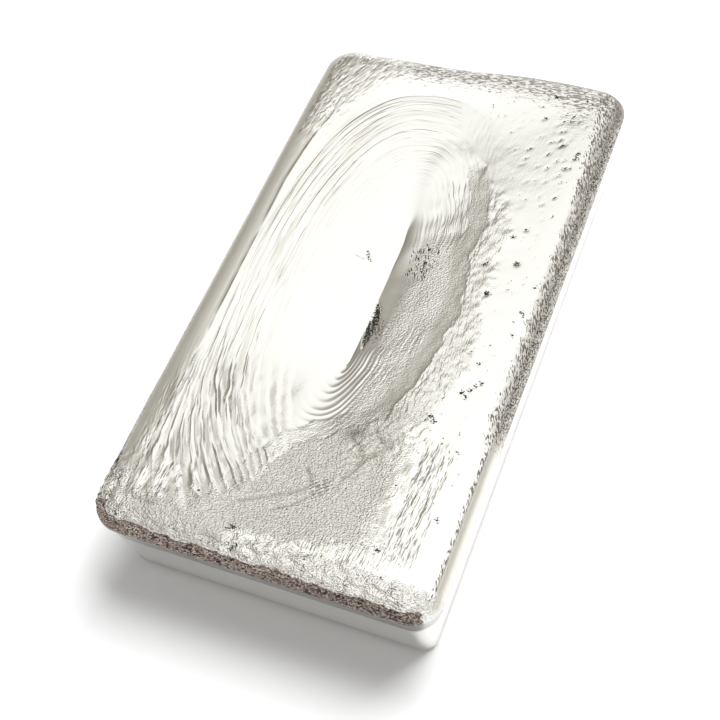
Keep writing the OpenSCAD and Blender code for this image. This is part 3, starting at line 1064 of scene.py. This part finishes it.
FINE_MARKS = (  # field, the way it runs, cell in mm, height in 0.1 mm, form
    ("rings", "rings", 24.0, 1.1, -0.24, "groove"),
    ("rings", "rings", 10.0, 0.6, -0.18, "groove"),
    ("washboard", 38, 1.10, 0.60, 1.8, "ripple"),
    ("dirt", 20, 0.50, 0.36, 2.6, "noise"),
    ("dash", "rings", 1.2, 0.40, 1.8, "noise"),
    ("far_dash", 3, 0.80, 0.24, 1.2, "noise"),
    ("grain", 20, 0.30, 0.24, 2.8, "noise"),
    ("contour", 50, 3.40, 2.80, 0.12, "contour"),
    ("flow", 98, 0.80, 0.26, 1.2, "noise"),
    ("streak", 88, 1.60, 0.34, 2.0, "noise"),
    ("fold", "rings", 7.0, 0.42, 1.8, "noise"),
    ("fur", 112, 0.90, 0.22, 1.6, "noise"),
)


MARK_UNIT = 0.1 * MM
ROUGH_BARE = 0.06       # roughness of the bare metal
ROUGH_CLOUDS = 0.10     # how much rougher it is in its cloudy places
ROUGH_DULL = 0.36       # how much rougher the dull skin, the tarnish and the painted shade are
ROUGH_OXIDE = 0.35      # how much rougher the oxide and the pocket's painted shadow are
METAL_IN_OXIDE = 0.25   # how metallic the oxide and the pocket's painted shadow still are


class NodeMaker:
    """Makes the nodes of one tree. An input is given by its place or name, as a
    value or as another node's output to link from."""

    def __init__(self, tree):
        self.tree = tree

    def add(self, kind, inputs, **settings):
        """A node with its inputs and settings."""
        made = self.tree.nodes.new(kind)
        for key, value in settings.items():
            setattr(made, key, value)
        for key, value in inputs.items():
            if isinstance(value, bpy.types.NodeSocket):
                self.tree.links.new(value, made.inputs[key])
            else:
                made.inputs[key].default_value = value
        return made

    def calc(self, operation, *values):
        """The output of a Math node over the values."""
        return self.add("ShaderNodeMath", dict(enumerate(values)), operation=operation).outputs[0]

    def ramp(self, fac, low, high, to_low=0.0, to_high=1.0):
        """The output of a smooth Map Range from low..high to to_low..to_high."""
        inputs = {0: fac, 1: low, 2: high, 3: to_low, 4: to_high}
        return self.add("ShaderNodeMapRange", inputs, interpolation_type="SMOOTHSTEP").outputs[0]

    def colour(self, fac, a, b):
        """The output of a colour Mix node from a to b."""
        return self.add("ShaderNodeMix", {"Factor": fac, 6: a, 7: b}, data_type="RGBA").outputs[2]


class SilverMarks(NodeMaker):
    """Makes the nodes that read the casting's fields and break them up by noise."""

    def __init__(self, tree):
        super().__init__(tree)
        self.place = self.add("ShaderNodeTexCoord", {}).outputs["Object"]
        self.drum = self.add("ShaderNodeAttribute", {}, attribute_name="drum").outputs["Vector"]
        self.noises = {key: self.noise(*sizes) for key, sizes in NOISES.items()}

    def field(self, key):
        """A field of the casting, as the mesh holds it."""
        return self.add("ShaderNodeAttribute", {}, attribute_name=key).outputs["Fac"]

    def cells(self, run, long, wide):
        """The place, counted in cells of long by wide mm that run along the rings or
        a heading."""
        if run == "rings":
            inputs = {"Vector": self.drum, "Scale": (long, long, wide)}
        else:
            inputs = {"Vector": self.place, "Rotation": (0, 0, math.radians(run)),
                      "Scale": (MM * long, MM * wide, MM * wide)}
        return self.add("ShaderNodeMapping", inputs, vector_type="TEXTURE").outputs[0]

    def noise(self, run, long, wide, detail=1.0):
        """Noise drawn out into cells of long by wide mm."""
        inputs = {"Vector": self.cells(run, long, wide), "Scale": 1.0, "Detail": detail}
        return self.add("ShaderNodeTexNoise", inputs).outputs["Fac"]

    def off_middle(self, value):
        """How far a noise is off its middle: |value - 1/2|."""
        return self.calc("ABSOLUTE", self.calc("SUBTRACT", value, 0.5))

    def specks(self, rows):
        """The highest of the rows' fields, each broken up into sharp specks: the
        field + spread (noise - 1/2), ramped, times its strength. A field under 0.15
        fades out."""
        highest = 0.0
        for key, noise, spread, low, high, strength in rows:
            amount = self.field(key)
            swing = self.calc("MULTIPLY_ADD", self.noises[noise], spread, -0.5 * spread)
            sharp = self.ramp(self.calc("ADD", amount, swing), low, high)
            present = self.calc("MULTIPLY", self.ramp(amount, 0.0, 0.15), strength)
            highest = self.calc("MAXIMUM", highest, self.calc("MULTIPLY", sharp, present))
        return highest

    def dull_skin(self):
        """How satin the metal is: the satin field, which also holds painted shade, with its far
        left dashes, frayed by fine noise."""
        dashed = self.calc("MULTIPLY_ADD", self.noises["dashes"], 7.0, -3.5)
        dashed = self.calc("MULTIPLY", self.field("dash"), dashed)
        frayed = self.calc("MULTIPLY_ADD", self.noises["fine"], 1.2, -0.6)
        amount = self.calc("ADD", self.calc("ADD", dashed, self.field("satin_and_shade")), frayed)
        return self.calc("MULTIPLY", self.ramp(amount, 0.25, 0.65),
                         self.ramp(self.field("satin_and_shade"), 0.0, 0.8))

    def metal_colour(self, finish, satin_and_shade, tarnish_and_shade):
        """Silver, satin where it is dull and along the ring lines, which are painted shadow, under
        tarnish and painted shade.
        """
        # Painted shadow: thin satin-coloured lines along the rings.
        lines = self.ramp(self.off_middle(self.noises["ring_lines"]), 0.07, 0.0)
        lines = self.calc("MULTIPLY", lines, self.field("rings"))
        dull = self.calc("MAXIMUM", satin_and_shade, lines)
        bare = self.colour(dull, opaque(finish.silver), opaque(finish.satin_and_shade))
        return self.colour(tarnish_and_shade, bare, opaque(finish.tarnish_and_shade))

    def scab_colour(self, finish):
        """Speckled brown scab with pale flecks and dark blotches; black in the pits and
        as the painted shadow in the pocket beside the trough.
        """
        dark, brown, light = (
            opaque(colour) for colour in (finish.scab_dark, finish.scab_brown, finish.scab_light))
        scab = self.colour(self.ramp(self.noises["speckle"], 0.42, 0.54), dark, brown)
        scab = self.colour(self.ramp(self.noises["fine"], 0.52, 0.60), scab, light)
        scab = self.colour(self.ramp(self.noises["blotches"], 0.60, 0.68), scab, dark)
        return self.colour(self.field("crust"), opaque(finish.pit), scab)

    def marks_height(self, oxide_and_shadow):
        """The height of all fine marks in 0.1 mm: each form times its field, over the
        grain of the oxide and of the pocket's painted shadow. A groove is the ramp where the noise
        is near its middle, and contours are the sine of 90 times the noise."""
        height = self.calc("MULTIPLY", self.noises["speckle"], self.calc("MULTIPLY", oxide_and_shadow, 2.0))
        for key, run, long, wide, rise, form in FINE_MARKS:
            if form == "ripple":
                lines = self.ripple(run, long, wide)
            else:
                lines = self.noise(run, long, wide)
            if form == "groove":
                lines = self.ramp(self.off_middle(lines), 0.09, 0.0)
            elif form == "contour":
                lines = self.calc("SINE", self.calc("MULTIPLY", lines, 90.0))
            raised = self.calc("MULTIPLY", lines, rise)
            height = self.calc("MULTIPLY_ADD", raised, self.field(key), height)
        return height

    def ripple(self, run, long, wide):
        """Even waves across a cell, stronger and weaker along it: the sine of the one
        times 0.6 + 0.4 times the sine of the other."""
        cell = self.add("ShaderNodeSeparateXYZ", {0: self.cells(run, long, wide)}).outputs
        across, along = (
            self.calc("SINE", self.calc("MULTIPLY", cell[axis], 2 * math.pi)) for axis in "YX")
        return self.calc("MULTIPLY", across, self.calc("MULTIPLY_ADD", along, 0.4, 0.6))


def opaque(colour):
    """A colour with its alpha."""
    return (*colour, 1)


def new_material(name):
    """A node material and its Principled shader."""
    material = bpy.data.materials.new(name)
    material.use_nodes = True
    return material, material.node_tree.nodes["Principled BSDF"].inputs


def silver_material(finish):
    """Bright cast silver with dull skin, tarnish, scab, pits and fine marks, and painted shade
    and shadow lines in its folds, creases, hollows and rings.
    """
    material, shader = new_material("cast_silver")
    marks = SilverMarks(material.node_tree)
    satin_and_shade = marks.dull_skin()
    oxide_and_shadow = marks.specks(OXIDE_AND_SHADOW_SPECKS)
    # Tarnish together with painted shade: the folds' lines and valleys, the creases and the hollow.
    tarnish_and_shade = marks.calc("MAXIMUM", marks.specks(TARNISH_AND_SHADE_SPECKS), marks.field("stain_and_shade"))
    dull = marks.calc("MAXIMUM", satin_and_shade, tarnish_and_shade)
    bare = marks.calc("MULTIPLY_ADD", marks.noises["clouds"], ROUGH_CLOUDS, ROUGH_BARE)
    dulled = marks.calc("MULTIPLY_ADD", dull, ROUGH_DULL, bare)
    raised = marks.add("ShaderNodeBump", {
        "Strength": 1.0, "Distance": MARK_UNIT, "Height": marks.marks_height(oxide_and_shadow)})
    outputs = {
        "Base Color": marks.colour(
            oxide_and_shadow, marks.metal_colour(finish, satin_and_shade, tarnish_and_shade), marks.scab_colour(finish)),
        "Metallic": marks.ramp(oxide_and_shadow, 0, 1, 1.0, METAL_IN_OXIDE),
        "Roughness": marks.calc("MULTIPLY_ADD", oxide_and_shadow, ROUGH_OXIDE, dulled),
        "Normal": raised.outputs["Normal"],
    }
    for socket, output in outputs.items():
        material.node_tree.links.new(output, shader[socket])
    return material


def floor_material(colour):
    """Matt pale floor."""
    material, shader = new_material("pale_floor")
    shader["Base Color"].default_value = opaque(colour)
    shader["Roughness"].default_value = 0.7
    return material


class PourCasting(bpy.types.Operator):
    """Make the bar's surface with its relief and silver"""

    bl_idname = "silver_bar.pour_casting"
    bl_label = "Pour casting"

    def execute(self, context):
        sink = in_mm(context.scene.bar_sink)
        laid = lay_surface(in_mm(context.scene.bar_mould), sink)
        piece = mesh_piece(PIECE, laid, *relief(laid, sink))
        piece.data.materials.append(silver_material(context.scene.bar_finish))
        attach(piece, "root")
        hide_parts(NODE)
        return {"FINISHED"}


# Studio

SKY = (  # height of the direction, and the light from there
    (0.00, 0.24, 0.21, 0.18), (0.30, 0.27, 0.245, 0.21), (0.50, 0.34, 0.32, 0.28),
    (0.61, 0.44, 0.425, 0.385), (0.66, 0.60, 0.59, 0.545), (0.70, 0.88, 0.88, 0.84),
    (0.74, 1.02, 1.02, 0.99), (0.87, 1.15, 1.15, 1.13),
)
FLOOR_LIGHT = (0.42, 0.42, 0.42)
BACKDROP = (1.0, 1.0, 1.0)


def make_floor(scene, studio):
    """A square pale floor."""
    half = studio.floor_half
    corners = [(-half, -half, 0), (half, -half, 0), (half, half, 0), (-half, half, 0)]
    mesh = bpy.data.meshes.new("floor")
    mesh.from_pydata(corners, [], [(0, 1, 2, 3)])
    mesh.materials.append(floor_material(studio.floor_colour))
    floor = bpy.data.objects.new("floor", mesh)
    scene.collection.objects.link(floor)


def make_sky(scene):
    """A pale studio: white overhead, darker and warmer down towards the floor, with
    a white wall at the right and a pale one behind. The floor's own light is an even
    grey, and the camera sees white past the floor."""
    world = bpy.data.worlds.new("studio")
    scene.world = world
    world.use_nodes = True
    nodes = NodeMaker(world.node_tree)
    toward = nodes.add("ShaderNodeTexCoord", {}).outputs["Generated"]
    axes = nodes.add("ShaderNodeSeparateXYZ", {0: toward}).outputs
    height = nodes.calc("ADD", axes["Z"], nodes.ramp(axes["X"], 0.35, 0.75, 0.0, 0.3))
    height = nodes.calc("ADD", height, nodes.ramp(axes["Y"], 0.75, 0.92, 0.0, 0.55))
    sky = nodes.add("ShaderNodeValToRGB", {"Fac": height})
    stops = sky.color_ramp.elements
    for _ in SKY[2:]:
        stops.new(0.5)
    for stop, (position, *light) in zip(stops, SKY):
        stop.position = position
        stop.color = opaque(light)
    ray = nodes.add("ShaderNodeLightPath", {}).outputs
    light = nodes.colour(ray["Is Diffuse Ray"], sky.outputs["Color"], opaque(FLOOR_LIGHT))
    light = nodes.colour(ray["Is Camera Ray"], light, opaque(BACKDROP))
    world.node_tree.links.new(light, world.node_tree.nodes["Background"].inputs["Color"])


def hang_lamp(scene, studio):
    """A square soft lamp that faces the bar and doesn't show in the metal."""
    light = bpy.data.lights.new("key", "AREA")
    light.size = studio.lamp_size
    light.energy = studio.lamp_power
    lamp = bpy.data.objects.new("key", light)
    lamp.location = studio.lamp_place
    lamp.rotation_euler = (-Vector(studio.lamp_place)).to_track_quat("-Z", "Y").to_euler()
    lamp.visible_glossy = False
    scene.collection.objects.link(lamp)


def stand_camera(scene, studio):
    """The camera at the photograph's place, turn and framing."""
    lens = bpy.data.cameras.new("camera")
    lens.lens = studio.lens
    lens.shift_x, lens.shift_y = studio.shift
    lens.clip_start, lens.clip_end = 0.01, 10
    camera = bpy.data.objects.new("camera", lens)
    camera.location = studio.camera_place
    camera.rotation_euler = studio.camera_turn
    scene.collection.objects.link(camera)
    scene.camera = camera


class SetStudio(bpy.types.Operator):
    """Make the floor, the light and the camera"""

    bl_idname = "silver_bar.set_studio"
    bl_label = "Set studio"

    def execute(self, context):
        scene = context.scene
        make_floor(scene, scene.bar_studio)
        make_sky(scene)
        hang_lamp(scene, scene.bar_studio)
        stand_camera(scene, scene.bar_studio)
        scene.view_settings.view_transform = "Standard"
        return {"FINISHED"}


class SilverBarPanel(bpy.types.Panel):
    """The bar's operators and settings"""

    bl_idname = "VIEW3D_PT_silver_bar"
    bl_label = "Silver bar"
    bl_space_type = "VIEW_3D"
    bl_region_type = "UI"
    bl_category = "Silver bar"

    def draw(self, context):
        for operator in (PourCasting, SetStudio):
            self.layout.operator(operator.bl_idname)
        for name in GROUPS:
            group = getattr(context.scene, name)
            box = self.layout.box()
            for key in group.__annotations__:
                box.prop(group, key)


GROUPS = {
    "bar_mould": MouldSizes, "bar_sink": SinkSizes, "bar_finish": SilverFinish,
    "bar_studio": StudioSettings,
}
CLASSES = (*GROUPS.values(), PourCasting, SetStudio, SilverBarPanel)


def register():
    """Registers the classes and hangs the settings on the scene."""
    for cls in CLASSES:
        bpy.utils.register_class(cls)
    for name, group in GROUPS.items():
        setattr(bpy.types.Scene, name, PointerProperty(type=group))


def unregister():
    """Undoes register, last first."""
    for name in reversed(GROUPS):
        delattr(bpy.types.Scene, name)
    for cls in reversed(CLASSES):
        bpy.utils.unregister_class(cls)


def main():
    """Builds the bar and its studio."""
    register()
    bpy.ops.silver_bar.pour_casting()
    bpy.ops.silver_bar.set_studio()


if __name__ == "__main__":
    main()
